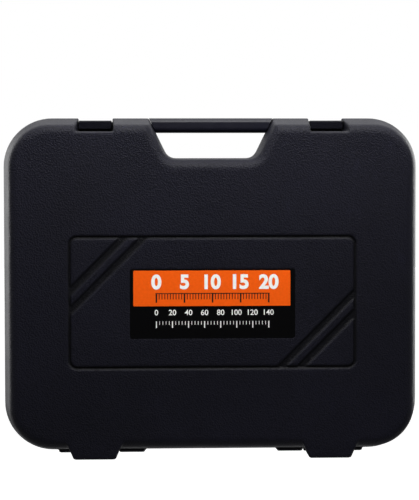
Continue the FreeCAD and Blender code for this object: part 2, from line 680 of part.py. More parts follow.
def build_tray():
    """A thin moulded tray in the base half: a deck with a cup for each piece."""
    body = new_body("tray")
    side = f"({HALF_WIDTH} - rim_wall - tray_margin)"
    low = "(foot_height + rim_wall + tray_margin)"
    shoulder = f"({NOTCH_FLOOR} - rim_wall - tray_margin)"
    middle = f"({SCOOP_FLOOR} - rim_wall - tray_margin)"
    bay = "(scoop_top_width / 2 + rim_wall + boss_radius + lug_length)"
    outline = [
        (f"-{side}", low, "tray_round"), (side, low, "tray_round"), (side, shoulder, "tray_round"),
        (bay, shoulder, "tray_inner_round"), (bay, middle, "tray_inner_round"),
        (f"-{bay}", middle, "tray_inner_round"), (f"-{bay}", shoulder, "tray_inner_round"),
        (f"-{side}", shoulder, "tray_round"),
    ]
    deck = loop_sketch(body, "deck", [outline], offset="-tray_front")
    extrude(body, "Pad", deck, "tray_sheet", reverse=True)
    for kind, wall in (("Pad", "tray_sheet"), ("Pocket", "0")):
        loops, circles = tray_pockets(wall)
        for number, (loop, floor) in enumerate(loops):
            sketch = loop_sketch(body, f"{kind}_cup_{number}", [loop], offset="-tray_front")
            extrude(body, kind, sketch, f"{floor} + {wall} - tray_front", reverse=kind == "Pad")
        for number, (x, z, radius, floor) in enumerate(circles):
            sketch = new_sketch(body, f"{kind}_round_cup_{number}", offset="-tray_front")
            add_circle(sketch, x, z, radius)
            extrude(body, kind, sketch, f"{floor} + {wall} - tray_front", reverse=kind == "Pad")
    return body


# ---------------------------------------------------------------- hand pump

def at_pump(x):
    return (x, "pump_y", PUMP_Z)


def ring(inner, outer, start, finish):
    """Profile of a plain tube between two distances along its axis."""
    return [(inner, start), (outer, start), (outer, finish), (inner, finish)]


def build_pump():
    pieces = {}
    pieces["pump_barrel"] = turned("pump_barrel", ring("barrel_bore", "barrel_radius", "0", "barrel_length"),
                                   at_pump("barrel_left"), ALONG_X)
    guide = "(rod_radius + rod_clearance)"
    spigot = "(barrel_bore - fit_gap)"
    pieces["pump_end_cap"] = turned("pump_end_cap", [
        (guide, "-cap_length"), ("cap_radius", "-cap_length", "edge_break"), ("cap_radius", "0"),
        (spigot, "0"), (spigot, "spigot_length"), (guide, "spigot_length")],
        at_pump("barrel_left"), ALONG_X)
    pieces["pump_rod"] = turned("pump_rod", [
        ("0", f"{GRIP_X} - rod_radius"), ("rod_radius", f"{GRIP_X} - rod_radius"),
        ("rod_radius", f"{PISTON_X} + piston_length / 2"), ("0", f"{PISTON_X} + piston_length / 2")],
        at_pump("0"), ALONG_X)
    build_piston(pieces)
    build_grip(pieces)
    build_head(pieces)
    return pieces


def build_piston(pieces):
    outer = "(barrel_bore - piston_clearance)"
    groove = "(barrel_bore - piston_clearance - 2 * seal_radius)"
    bore = "(rod_radius + fit_gap)"
    middle = "(piston_length / 2)"
    pieces["pump_piston"] = turned("pump_piston", [
        (bore, "0"), (outer, "0"), (outer, f"{middle} - seal_radius - fit_gap"),
        (groove, f"{middle} - seal_radius - fit_gap"), (groove, f"{middle} + seal_radius + fit_gap"),
        (outer, f"{middle} + seal_radius + fit_gap"), (outer, "piston_length"),
        ("0", "piston_length"), ("0", f"{middle} + fit_gap"), (bore, f"{middle} + fit_gap")],
        at_pump(PISTON_X), ALONG_X)
    seal = document.addObject("Part::Torus", "Torus_piston_seal")
    seal.Label = "piston_seal"
    bind(seal, "Radius1", "barrel_bore - piston_clearance - seal_radius")
    bind(seal, "Radius2", "seal_radius - fit_gap / 2")
    pieces["piston_seal"] = place(seal, *at_pump(f"{PISTON_X} + {middle}"), ALONG_X)


def build_grip(pieces):
    """The cross grip on the rod: a waisted bar with a socket for the rod's end."""
    half = "(grip_length / 2)"
    body = turned("pump_grip", [
        ("0", f"-{half}"), ("grip_radius", f"-{half}", "grip_radius / 2"),
        ("grip_radius", f"grip_end - {half}"), ("grip_waist", "-grip_socket", "grip_socket"),
        ("grip_waist", "grip_socket", "grip_socket"), ("grip_radius", f"{half} - grip_end"),
        ("grip_radius", half, "grip_radius / 2"), ("0", half)],
        at_pump(GRIP_X), UPWARD)
    boss = new_sketch(body, "grip_boss", "YZ_Plane")
    add_circle(boss, "0", "0", "grip_waist")
    extrude(body, "Pad", boss, "grip_socket")
    socket = new_sketch(body, "grip_socket", "YZ_Plane", "-rod_radius")
    add_circle(socket, "0", "0", "rod_radius + fit_gap")
    extrude(body, "Pocket", socket, "rod_radius + grip_socket", reverse=True)
    pieces["pump_grip"] = body


def build_head(pieces):
    spigot = "(barrel_bore - fit_gap)"
    body = turned("pump_head", [
        ("0", "-spigot_length"), (spigot, "-spigot_length"), (spigot, "0"), ("head_radius", "0"),
        ("head_radius", "head_length", "rod_radius / 2"), ("0", "head_length")],
        at_pump(BARREL_RIGHT), ALONG_X)
    # Local Z runs along the pump, so local X is the case's Z, turned downwards.
    middle = "(head_length / 2)"
    button_bore = new_sketch(body, "button_bore", "YZ_Plane")
    add_circle(button_bore, "0", middle, "button_radius + rod_clearance")
    extrude(body, "Pocket", button_bore, "head_radius", reverse=False)
    barb_bore = new_sketch(body, "barb_bore", "YZ_Plane", "head_bore + button_radius")
    add_circle(barb_bore, "0", middle, "barb_thread + fit_gap")
    extrude(body, "Pocket", barb_bore, "head_radius", reverse=True)
    gauge_bore = new_sketch(body, "gauge_bore", "XY_Plane", "head_length")
    add_circle(gauge_bore, "0", "0", "stem_radius + fit_gap")
    extrude(body, "Pocket", gauge_bore, "stem_length")
    pieces["pump_head"] = body
    at_head = (f"{BARREL_RIGHT} + {middle}", "pump_y")
    pieces["relief_button"] = turned("relief_button", [
        ("0", "0"), ("button_radius", "0"), ("button_radius", "button_length", "edge_break"),
        ("0", "button_length")],
        (*at_head, f"{PUMP_Z} + head_radius + button_proud - button_length"), UPWARD)
    barb_root = "(head_radius - head_bore - button_radius)"
    pieces["hose_barb"] = turned("hose_barb", barb_profile(barb_root),
                                 (*at_head, f"{PUMP_Z} - head_bore - button_radius"), DOWNWARD)


def barb_profile(root):
    """A threaded root, a hexagon-sized collar and three barbs, bored through."""
    waist = "(barb_bore + barb_wall)"
    rim = "(barb_thread + barb_collar)"
    collar = f"({root} + barb_collar_length)"
    profile = [("barb_bore", "0"), ("barb_thread", "0"), ("barb_thread", root), (rim, root),
               (rim, collar), (waist, collar), (waist, f"{collar} + barb_neck")]
    for number in range(BARBS):
        profile.append(("barb_radius", f"{collar} + barb_neck + {number} * barb_pitch"))
        profile.append((waist, f"{collar} + barb_neck + {number + 1} * barb_pitch"))
    profile.append(("barb_bore", profile[-1][1]))
    return profile


# ---------------------------------------------------------------- gauges

def build_gauge(prefix, x, z, radius, boss_plane, boss_along):
    """A dial gauge that faces the front: case with its spindle, dial, needle, lens and bezel."""
    inner = f"({radius} - gauge_wall)"
    dial_back = "(dial_drop + dial_thickness)"
    lens_back = "(lens_drop + lens_thickness)"
    centre = (x, "gauge_front", z)
    case = turned(prefix + "_case", [
        ("0", "needle_drop"), ("spindle_radius", "needle_drop"), ("spindle_radius", dial_back),
        ("gauge_core", dial_back), ("gauge_core", "gauge_depth - gauge_wall"),
        (inner, "gauge_depth - gauge_wall"), (inner, lens_back), (radius, lens_back),
        (radius, "gauge_depth", "gauge_wall / 2"), ("0", "gauge_depth")], centre, TO_BACK)
    # Local Z of the case runs backwards and its local Y downwards.
    downward = boss_plane == "XZ_Plane"
    start = f"-({radius} - gauge_wall)" if downward else f"-({radius} + gauge_boss_length)"
    boss = new_sketch(case, prefix + "_boss", boss_plane, start)
    add_circle(boss, "0", boss_along, "stem_radius")
    extrude(case, "Pad", boss, "gauge_wall + gauge_boss_length", reverse=downward)
    needle = build_needle(prefix, centre, radius)
    lens_radius = f"({radius} - fit_gap)"
    sleeve = f"({radius} + fit_gap)"
    rim = f"({radius} + bezel_lip)"
    return {
        prefix + "_case": case,
        prefix + "_needle": needle,
        prefix + "_dial": turned(prefix + "_dial", ring("spindle_radius + fit_gap", f"{inner} - fit_gap",
                                                        "dial_drop", dial_back), centre, TO_BACK),
        prefix + "_lens": turned(prefix + "_lens", [("0", "lens_drop"), (lens_radius, "lens_drop"),
                                                    (lens_radius, lens_back), ("0", lens_back)],
                                 centre, TO_BACK),
        prefix + "_bezel": turned(prefix + "_bezel", [
            (f"{radius} - bezel_inset", "0"), (rim, "0", "bezel_lip / 2"), (rim, "bezel_length"),
            (sleeve, "bezel_length"), (sleeve, "lens_drop"), (f"{radius} - bezel_inset", "lens_drop")],
            centre, TO_BACK),
    }


def build_needle(prefix, centre, radius):
    """The pointer, drawn upright and turned back to zero, with a bore for the spindle."""
    body = new_body(prefix + "_needle")
    tip = f"({radius} * needle_reach)"
    tail = f"(-{radius} * needle_tail)"
    pointer = loop_sketch(body, prefix + "_pointer", [[
        ("-needle_width", tail), ("needle_width", tail), ("needle_width / 4", tip),
        ("-needle_width / 4", tip)]], offset="-needle_thickness")
    extrude(body, "Pad", pointer, "needle_thickness")
    hub = new_sketch(body, prefix + "_hub", offset="-needle_thickness")
    add_circle(hub, "0", "0", "needle_hub")
    extrude(body, "Pad", hub, "needle_thickness")
    bore = new_sketch(body, prefix + "_needle_bore", offset="0")
    add_circle(bore, "0", "0", "spindle_radius + pin_clearance")
    extrude(body, "Pocket", bore, "needle_thickness")
    zero = Rotation(Vector(0, 1, 0), value("needle_zero"))
    return place(body, centre[0], "gauge_front + needle_drop", centre[2], zero)


def build_gauges():
    pieces = build_gauge("pump_gauge", GAUGE_X, PUMP_Z, "gauge_radius", "YZ_Plane",
                         "pump_y - gauge_front")
    pieces.update(build_gauge("vacuum_gauge", "purge_gauge_x", PURGE_GAUGE_Z, "vacuum_gauge_radius",
                              "XZ_Plane", "pump_y - gauge_front"))
    neck = "(stem_radius - fit_gap)"
    pump_stem = "(2 * stem_length - gauge_boss_length)"
    pieces["pump_gauge_stem"] = turned("pump_gauge_stem", ring("barb_bore", neck, "0", pump_stem),
                                       at_pump(f"{HEAD_RIGHT} - stem_length"), ALONG_X)
    vacuum_stem = "(purge_stem + stem_length - gauge_boss_length)"
    pieces["vacuum_gauge_stem"] = turned("vacuum_gauge_stem", ring("barb_bore", neck, "0", vacuum_stem),
                                         ("purge_gauge_x", "pump_y",
                                          "purge_z + purge_radius - stem_length"), UPWARD)
    return pieces


# ---------------------------------------------------------------- vacuum purge unit

def build_purge():
    pieces = {}
    body = turned("venturi_body", [
        ("purge_bore", "0"), ("purge_hex", "0", "edge_break"), ("purge_hex", "muffler_length"),
        ("purge_radius", "muffler_length"), ("purge_radius", "purge_length - muffler_length"),
        ("purge_hex", "purge_length - muffler_length"), ("purge_hex", "purge_length", "edge_break"),
        ("purge_bore", "purge_length")], at_purge("purge_left"), ALONG_X)
    # Local Z runs along the unit, local X downwards and local Y backwards.
    bore = new_sketch(body, "gauge_stem_bore", "YZ_Plane", "stem_length - purge_radius")
    add_circle(bore, "pump_y - purge_y", "purge_gauge_x - purge_left", "stem_radius + fit_gap")
    extrude(body, "Pocket", bore, "2 * purge_radius")
    bore = new_sketch(body, "nipple_bore", "YZ_Plane", "purge_bore")
    add_circle(bore, "0", "nipple_x - purge_left", "nipple_radius + fit_gap")
    extrude(body, "Pocket", bore, "2 * purge_radius", reverse=True)
    bore = new_sketch(body, "valve_bore", "XZ_Plane", "0")
    add_circle(bore, "0", "valve_x - purge_left", "valve_stem_radius + rod_clearance")
    extrude(body, "Pocket", bore, "2 * purge_radius", reverse=True)
    pieces["venturi_body"] = body
    pieces["air_muffler"] = turned("air_muffler", [
        ("purge_bore", "0"), ("muffler_radius", "0", "edge_break"),
        ("muffler_radius", "muffler_length"), ("purge_bore", "muffler_length")],
        at_purge("purge_left - muffler_length"), ALONG_X)
    pieces["filler_cone"] = turned("filler_cone", [
        ("purge_bore", "0"), ("cone_large", "0", "edge_break"), ("cone_large", "cone_rim"),
        ("cone_small", "cone_length", "edge_break"), ("purge_bore", "cone_length")],
        at_purge(PURGE_RIGHT), ALONG_X)
    pieces["air_nipple"] = build_nipple()
    pieces["valve_stem"] = cylinder("valve_stem", "valve_stem_radius",
                                    "purge_y - purge_bore - lever_front - lever_thickness",
                                    ("valve_x", "lever_front + lever_thickness", "purge_z"), TO_BACK)
    pieces["valve_lever"] = build_lever()
    return pieces


def at_purge(x):
    return (x, "purge_y", "purge_z")


def build_nipple():
    """A quick-connect air nipple: root in the body, collar, neck groove and nose."""
    root = "(purge_radius - purge_bore)"
    nose = "(purge_radius - purge_bore + nipple_length)"
    collar = f"({root} + nipple_collar)"
    groove = f"({collar} + nipple_taper + nipple_groove)"
    return turned("air_nipple", [
        ("barb_bore", "0"), ("nipple_radius", "0"), ("nipple_radius", collar),
        ("nipple_neck", f"{collar} + nipple_taper"), ("nipple_neck", groove),
        ("nipple_radius", f"{groove} + nipple_taper"),
        ("nipple_radius", nose, "edge_break"), ("barb_bore", nose)],
        ("nipple_x", "purge_y", "purge_z - purge_bore"), DOWNWARD)


def build_lever():
    """The valve's lever: a hub over the stem and an arm that points along the unit when shut."""
    body = new_body("valve_lever")
    offset = "-lever_thickness"
    arm = loop_sketch(body, "lever_arm", [rectangle("-lever_length", "0", "-lever_width / 2",
                                                    "lever_width / 2")], offset=offset)
    extrude(body, "Pad", arm, "lever_thickness")
    for name, x, radius in (("hub", "0", "lever_hub"), ("tip", "-lever_length", "lever_width / 2")):
        disc = new_sketch(body, "lever_" + name, offset=offset)
        add_circle(disc, x, "0", radius)
        extrude(body, "Pad", disc, "lever_thickness")
    return place(body, "valve_x", "lever_front", "purge_z")


# ---------------------------------------------------------------- adapters

def build_adapters():
    """Stepped filler-cap adapters with a nipple towards the front, and a flat gasket in each."""
    pieces = {}
    gaskets = []
    top = "(adapter_skirt + adapter_step)"
    tip = f"({top} + adapter_nipple)"
    roof = "(adapter_skirt - adapter_wall)"
    for colour, column, row in ADAPTERS:
        name = "cap_adapter_" + colour
        radius = colour + "_radius"
        x, z = adapter_place(column, row)
        shoulder = f"({radius} * shoulder_ratio)"
        hollow = f"({radius} - adapter_wall)"
        pieces[name] = turned(name, [
            (hollow, "0"), (radius, "0"), (radius, "adapter_skirt", "gasket_inset"),
            (shoulder, "adapter_skirt"), (shoulder, top, "gasket_inset"),
            ("adapter_nipple_radius", top), ("adapter_nipple_radius", tip, "gasket_inset / 2"),
            ("adapter_bore", tip), ("adapter_bore", roof), (hollow, roof)],
            (x, ADAPTER_BACK, z), TO_FRONT)
        gaskets.append(turned(name + "_gasket", ring(
            shoulder, f"{hollow} - fit_gap", f"{roof} - gasket_thickness", roof),
            (x, ADAPTER_BACK, z), TO_FRONT))
    pieces["adapter_gaskets"] = compound("adapter_gaskets", gaskets)
    return pieces


def build_spare_cones():
    """Stepped rubber cones for other filler necks."""
    cones = []
    for number, (column, row) in enumerate(SPARE_CONES):
        x, z = adapter_place(column, row)
        profile = [("adapter_bore", "0"), ("spare_cone_base", "0", "gasket_inset")]
        for step in range(SPARE_CONE_STEPS):
            rise = f"(spare_cone_height * {step + 1} / {SPARE_CONE_STEPS})"
            inset = f"((spare_cone_base - spare_cone_top) * {step} / {SPARE_CONE_STEPS - 1})"
            width = f"(spare_cone_base - {inset})"
            if step > 0:
                profile.append((width, f"(spare_cone_height * {step} / {SPARE_CONE_STEPS})"))
            profile.append((width, rise))
        profile.append(("adapter_bore", "spare_cone_height"))
        cones.append(turned(f"spare_cone_{number}", profile,
                            (x, "adapter_front + spare_cone_height", z), TO_FRONT))
    return compound("spare_cones", cones)


# ---------------------------------------------------------------- the kit

def build_kit():
    """Every sub-part by the name of its node."""
    pieces = {
        "lid_shell": build_lid(),
        "base_shell": build_base(),
        "carry_handle": build_handle(),
        "handle_screws": build_handle_screws(),
        "hinge_pins": build_hinge_pins(),
        "latch_left": build_latch("latch_left", -1),
        "latch_right": build_latch("latch_right", 1),
        "latch_pins": build_latch_pins(),
        "label_plate": build_label(),
        "tray": build_tray(),
        "spare_cones": build_spare_cones(),
    }
    for group in (build_pump(), build_gauges(), build_purge(), build_adapters()):
        pieces.update(group)
    return pieces


def check_document():
    """Stop if any object of the document failed to build."""
    for item in document.Objects:
        if "Invalid" in item.State or "Error" in item.State:
            raise RuntimeError(f"{item.Label}: {item.State}")


def export_pieces(pieces):
    for name, item in pieces.items():
        if item.Shape.isNull() or not item.Shape.isValid():
            raise RuntimeError(f"{name}: no valid shape")
    os.makedirs("parts", exist_ok=True)
    for name, item in pieces.items():
        item.Shape.exportStep(f"parts/{name}.step")
        print(name, len(item.Shape.Solids), round(item.Shape.Volume, 1))


kit = build_kit()
document.recompute()
check_document()
export_pieces(kit)
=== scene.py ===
from collections import namedtuple
import json
import math

import bpy
import numpy
from mathutils import Matrix, Vector
from mathutils.bvhtree import BVHTree


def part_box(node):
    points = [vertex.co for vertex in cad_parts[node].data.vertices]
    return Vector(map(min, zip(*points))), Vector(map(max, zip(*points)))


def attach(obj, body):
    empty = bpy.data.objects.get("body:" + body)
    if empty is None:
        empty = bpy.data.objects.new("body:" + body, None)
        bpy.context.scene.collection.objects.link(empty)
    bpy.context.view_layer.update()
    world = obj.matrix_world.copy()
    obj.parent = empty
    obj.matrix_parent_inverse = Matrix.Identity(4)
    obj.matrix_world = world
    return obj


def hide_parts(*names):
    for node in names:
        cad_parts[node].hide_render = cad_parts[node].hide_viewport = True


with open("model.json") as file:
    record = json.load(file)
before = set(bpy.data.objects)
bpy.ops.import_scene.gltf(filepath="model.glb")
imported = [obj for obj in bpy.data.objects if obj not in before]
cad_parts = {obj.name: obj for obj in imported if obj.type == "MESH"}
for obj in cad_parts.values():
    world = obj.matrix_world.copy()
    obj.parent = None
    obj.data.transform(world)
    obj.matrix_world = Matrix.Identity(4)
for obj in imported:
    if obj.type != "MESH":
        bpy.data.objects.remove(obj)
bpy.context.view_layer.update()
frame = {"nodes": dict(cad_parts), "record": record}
nodes = frame["nodes"]
MM = 0.001
SCENE = bpy.context.scene

# ---------------------------------------------------------------- places, read from the frame

CASE_LOW, CASE_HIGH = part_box("lid_shell")
LABEL_LOW, LABEL_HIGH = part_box("label_plate")
LABEL_MIDDLE = (LABEL_LOW + LABEL_HIGH) / 2
FACE_Y = CASE_LOW.y
PANEL_HALF_WIDTH = 178 * MM
PANEL_LOW, PANEL_HIGH = 104 * MM, 274 * MM
# depths below the outer face between which the painted groove shade grows, and past which it stops
GROOVE_TOP, GROOVE_BOTTOM, WALL_DEPTH = 0.5 * MM, 1.5 * MM, 4 * MM
CASE_BLACK = (0.0043, 0.0043, 0.0084)
WHITE = (1, 1, 1)
BLACK = (0, 0, 0)


# ---------------------------------------------------------------- material helpers

class Nodes:
    """A node tree with short calls for the nodes that the finishes and the world share."""

    def __init__(self, tree):
        self.tree = tree

    def node(self, kind, **settings):
        made = self.tree.nodes.new(kind)
        for key, setting in settings.items():
            setattr(made, key, setting)
        return made

    def link(self, source, target):
        self.tree.links.new(source, target)

    def calculate(self, operation, first, second):
        """One sum of sockets or numbers."""
        made = self.node("ShaderNodeMath", operation=operation)
        for socket, source in zip(made.inputs, (first, second)):
            if isinstance(source, (int, float)):
                socket.default_value = source
            else:
                self.link(source, socket)
        return made.outputs["Value"]

    def axes(self, vector):
        split = self.node("ShaderNodeSeparateXYZ")
        self.link(vector, split.inputs["Vector"])
        return [split.outputs[axis] for axis in "XYZ"]

    def map_range(self, source, low, high, to_low, to_high, curve="LINEAR"):
        made = self.node("ShaderNodeMapRange", interpolation_type=curve)
        ends = {"From Min": low, "From Max": high, "To Min": to_low, "To Max": to_high}
        for socket, number in ends.items():
            made.inputs[socket].default_value = number
        self.link(source, made.inputs["Value"])
        return made.outputs["Result"]


class Finish(Nodes):
    """A material, with short calls for the patterns that the finishes share."""

    def __init__(self, name):
        self.material = bpy.data.materials.new(name)
        self.material.use_nodes = True
        super().__init__(self.material.node_tree)
        self.shader = self.tree.nodes["Principled BSDF"]
        self.place = self.node("ShaderNodeTexCoord").outputs["Object"]

    def set(self, socket, number):
        self.shader.inputs[socket].default_value = number

    def noise(self, scale, detail=3.0, roughness=0.5, stretch=(1, 1, 1)):
        mapping = self.node("ShaderNodeMapping")
        mapping.inputs["Scale"].default_value = stretch
        self.link(self.place, mapping.inputs["Vector"])
        made = self.node("ShaderNodeTexNoise")
        made.inputs["Scale"].default_value = scale
        made.inputs["Detail"].default_value = detail
        made.inputs["Roughness"].default_value = roughness
        self.link(mapping.outputs["Vector"], made.inputs["Vector"])
        return made.outputs["Fac"]

    def cells(self, scale):
        made = self.node("ShaderNodeTexVoronoi", feature="SMOOTH_F1")
        made.inputs["Scale"].default_value = scale
        made.inputs["Smoothness"].default_value = 0.6
        self.link(self.place, made.inputs["Vector"])
        return made.outputs["Distance"]

    def ramp(self, source, low, high, low_at=0.3, high_at=0.7):
        made = self.node("ShaderNodeValToRGB")
        made.color_ramp.elements[0].position = low_at
        made.color_ramp.elements[1].position = high_at
        made.color_ramp.elements[0].color = (*low, 1)
        made.color_ramp.elements[1].color = (*high, 1)
        self.link(source, made.inputs["Fac"])
        return made.outputs["Color"]

    def span(self, source, low, high):
        return self.map_range(source, 0, 1, low, high)

    def add(self, first, second, weight):
        """The first socket plus a share of the second."""
        made = self.node("ShaderNodeMath", operation="MULTIPLY_ADD")
        self.link(second, made.inputs[0])
        made.inputs[1].default_value = weight
        self.link(first, made.inputs[2])
        return made.outputs["Value"]

    def blend(self, kind, first, second):
        """Two colours blended in full: added or multiplied."""
        made = self.node("ShaderNodeMix", data_type="RGBA", blend_type=kind)
        made.inputs["Factor"].default_value = 1.0
        self.link(first, made.inputs[6])
        self.link(second, made.inputs[7])
        return made.outputs[2]

    def bump(self, height, distance, strength=1.0):
        made = self.node("ShaderNodeBump")
        made.inputs["Distance"].default_value = distance
        made.inputs["Strength"].default_value = strength
        self.link(height, made.inputs["Height"])
        self.link(made.outputs["Normal"], self.shader.inputs["Normal"])

    def painted_groove_shade(self):
        """Painted shade for the panel's grooves: dark grey where they lie below the outer faces, and white
        elsewhere.
        """
        x, y, z = self.axes(self.place)
        depth = self.calculate("SUBTRACT", abs(FACE_Y), self.calculate("ABSOLUTE", y, 0))
        below = self.map_range(depth, GROOVE_TOP, GROOVE_BOTTOM, 0, 1)
        shallow = self.calculate("LESS_THAN", depth, WALL_DEPTH)
        across = self.calculate("LESS_THAN", self.calculate("ABSOLUTE", x, 0), PANEL_HALF_WIDTH)
        centre = (PANEL_LOW + PANEL_HIGH) / 2
        height = self.calculate("ABSOLUTE", self.calculate("SUBTRACT", z, centre), 0)
        inside = self.calculate("LESS_THAN", height, (PANEL_HIGH - PANEL_LOW) / 2)
        near = self.calculate("MULTIPLY", shallow, self.calculate("MULTIPLY", across, inside))
        groove_shade_mask = self.calculate("MULTIPLY", below, near)
        return self.ramp(groove_shade_mask, WHITE, grey(0.3), 0.0, 1.0)

    def colour(self, source):
        self.link(source, self.shader.inputs["Base Color"])

    def rough(self, source):
        self.link(source, self.shader.inputs["Roughness"])


def lighter(colour, factor):
    return tuple(min(1.0, channel * factor) for channel in colour)


def grey(level):
    return (level, level, level)


# how far the painted shade in corners and grooves looks for nearby surfaces
PAINTED_SHADE_REACH = 6 * MM


def grained_plastic(name, colour, grain=1.8 * MM, depth=0.5 * MM, shine=0.1, scuffs=1.5,
                    with_groove_shade=False):
    """Blow-moulded plastic: pebble grain, faint scuffs, and painted shade that darkens its corners and
    grooves.
    """
    graph = Finish(name)
    pebble = graph.cells(1 / grain)
    fine = graph.noise(2.4 / grain, detail=2)
    cloud = graph.noise(7, detail=4)
    scuff = graph.noise(55, detail=6, roughness=0.7, stretch=(1, 1, 0.4))
    body = graph.ramp(cloud, lighter(colour, 0.8), lighter(colour, 1.2))
    speckle = graph.ramp(pebble, grey(1.35), grey(0.62), 0.15, 0.75)
    worn = graph.ramp(scuff, BLACK, lighter(colour, scuffs), 0.62, 0.82)
    scuffed = graph.blend("ADD", graph.blend("MULTIPLY", body, speckle), worn)
    # painted shade: ambient occlusion darkens the colour in corners, creases and grooves
    occlusion = graph.node("ShaderNodeAmbientOcclusion", samples=6)
    occlusion.inputs["Distance"].default_value = PAINTED_SHADE_REACH
    painted_shade = graph.ramp(occlusion.outputs["AO"], grey(0.06), WHITE, 0.45, 0.97)
    with_painted_shade = graph.blend("MULTIPLY", scuffed, painted_shade)
    # painted shade in the panel's grooves
    if with_groove_shade:
        with_painted_shade = graph.blend("MULTIPLY", with_painted_shade, graph.painted_groove_shade())
    graph.colour(with_painted_shade)
    graph.rough(graph.span(graph.noise(35, detail=5), 0.46, 0.6))
    graph.bump(graph.add(pebble, fine, 0.4), depth)
    graph.set("Specular IOR Level", shine)
    return graph.material


# a pattern of noise, and the two ends that it runs between: shares of a colour, or roughnesses
Pattern = namedtuple("Pattern", "scale detail low high")
Grain = namedtuple("Grain", "scale detail stretch depth")
Look = namedtuple("Look", "tint gloss grain sockets")

EVEN = (1, 1, 1)
TURNING = (1, 0.15, 1)
MOULDED = Pattern(25, 3, 0.9, 1.15), Pattern(60, 5, 0.3, 0.45), Grain(900, 3, EVEN, 0.02 * MM)
INK_TINT = Pattern(300, 4, 0.94, 1.03)
INK_GLOSS = Pattern(400, 3, 0.35, 0.45)
FILM_GLOSS = Pattern(400, 3, 0.38, 0.5)
LOOKS = {
    "plastic": Look(*MOULDED, {"Specular IOR Level": 0.4}),
    "handle": Look(*MOULDED, {"Specular IOR Level": 0.18}),
    "latch": Look(*MOULDED, {"Specular IOR Level": 0.1}),
    "turned metal": Look(Pattern(40, 4, 0.88, 1.08), Pattern(220, 5, 0.2, 0.34),
                         Grain(2500, 2, TURNING, 0.012 * MM), {"Metallic": 1.0}),
    "enamel": Look(Pattern(30, 3, 0.93, 1.06), Pattern(80, 4, 0.22, 0.36),
                   Grain(420, 2, EVEN, 0.02 * MM), {"Coat Weight": 0.35, "Coat Roughness": 0.12}),
    "rubber": Look(Pattern(50, 5, 1.0, 1.7), Pattern(130, 3, 0.6, 0.78),
                   Grain(1300, 3, EVEN, 0.04 * MM), {"Specular IOR Level": 0.3}),
    "film": Look(INK_TINT, FILM_GLOSS, None, {"Specular IOR Level": 0.05}),
    "dull ink": Look(INK_TINT, INK_GLOSS, None, {"Specular IOR Level": 0.12}),
    "bright ink": Look(INK_TINT, INK_GLOSS, None, {"Specular IOR Level": 0.3}),
}


def plain_finish(name, colour, look):
    """A finish whose colour, gloss and fine grain vary a little, as its entry in LOOKS says."""
    tint, gloss, grain, sockets = LOOKS[look]
    graph = Finish(name)
    cloud = graph.noise(tint.scale, tint.detail)
    graph.colour(graph.ramp(cloud, lighter(colour, tint.low), lighter(colour, tint.high)))
    graph.rough(graph.span(graph.noise(gloss.scale, gloss.detail), gloss.low, gloss.high))
    if grain:
        graph.bump(graph.noise(grain.scale, grain.detail, stretch=grain.stretch), grain.depth)
    for socket, number in sockets.items():
        graph.set(socket, number)
    return graph.material


def clear_lens(name):
    """Clear plastic with a faint unevenness in its polish."""
    graph = Finish(name)
    graph.set("Base Color", (*WHITE, 1))
    graph.set("Transmission Weight", 1.0)
    graph.set("IOR", 1.25)
    graph.rough(graph.span(graph.noise(60), 0.01, 0.04))
    return graph.material


# painted shade: the latches' black is the case's black at half brightness, for latches that sit shaded in
# their notches
SHADED_LATCH_BLACK = lighter(CASE_BLACK, 0.5)
LOOK_OF_CLASS = {"rubber": "rubber", "brushed_steel": "turned metal", "chrome": "turned metal",
                 "aluminium": "turned metal", "brass": "turned metal", "painted_metal": "enamel"}


def cast_slots():
    """One finish for each material slot of the record."""
    made = {}
    for entry in frame["record"]["materials"]:
        slot, kind, colour = entry["slot"], entry["class"], tuple(entry["base_color"][:3])
        if slot == "case":
            # the case's finish also gets painted shade in its panel's grooves
            made[slot] = grained_plastic(slot, CASE_BLACK, with_groove_shade=True)
        elif slot == "tray":
            made[slot] = grained_plastic(slot, colour, grain=1.2 * MM, depth=0.2 * MM, shine=0.25,
                                         scuffs=0.6)
        elif slot == "handle":
            made[slot] = plain_finish(slot, CASE_BLACK, "handle")
        elif slot == "latch":
            made[slot] = plain_finish(slot, SHADED_LATCH_BLACK, "latch")
        elif kind == "glass":
            made[slot] = clear_lens(slot)
        else:
            made[slot] = plain_finish(slot, colour, LOOK_OF_CLASS.get(kind, "plastic"))
    return made


finishes = cast_slots()
for entry in frame["record"]["subparts"]:
    mesh = nodes[entry["node"]].data
    mesh.materials.clear()
    mesh.materials.append(finishes[entry["material_slot"]])


# ---------------------------------------------------------------- piece helpers

def add_object(name, mesh, material, body):
    """A new piece of the scene that rides on a body and takes the finish it is given."""
    piece = bpy.data.objects.new(name, mesh)
    mesh.materials.clear()
    mesh.materials.append(material)
    SCENE.collection.objects.link(piece)
    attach(piece, body)
    return piece


def applied(item):
    """The mesh that an object's modifiers give."""
    graph = bpy.context.evaluated_depsgraph_get()
    return bpy.data.meshes.new_from_object(item.evaluated_get(graph))


def shade_smooth(mesh, sharp_from=None):
    """Shade a mesh smoothly, apart from the edges that turn more than an angle in degrees."""
    for polygon in mesh.polygons:
        polygon.use_smooth = True
    if sharp_from is None:
        return
    mesh.update()
    normals = {}
    for polygon in mesh.polygons:
        for key in polygon.edge_keys:
            normals.setdefault(key, []).append(polygon.normal.copy())
    limit = math.radians(sharp_from)
    for edge in mesh.edges:
        pair = normals.get(tuple(sorted(edge.vertices)), [])
        if len(pair) == 2:
            edge.use_edge_sharp = pair[0].angle(pair[1], 0) > limit


PANEL_SOFTNESS, HINGE_SOFTNESS = 0.1, 0.12
FACE_SKIN = 3 * MM
HINGE_HALF_DEPTH, HINGE_TOP = 7 * MM, 10 * MM


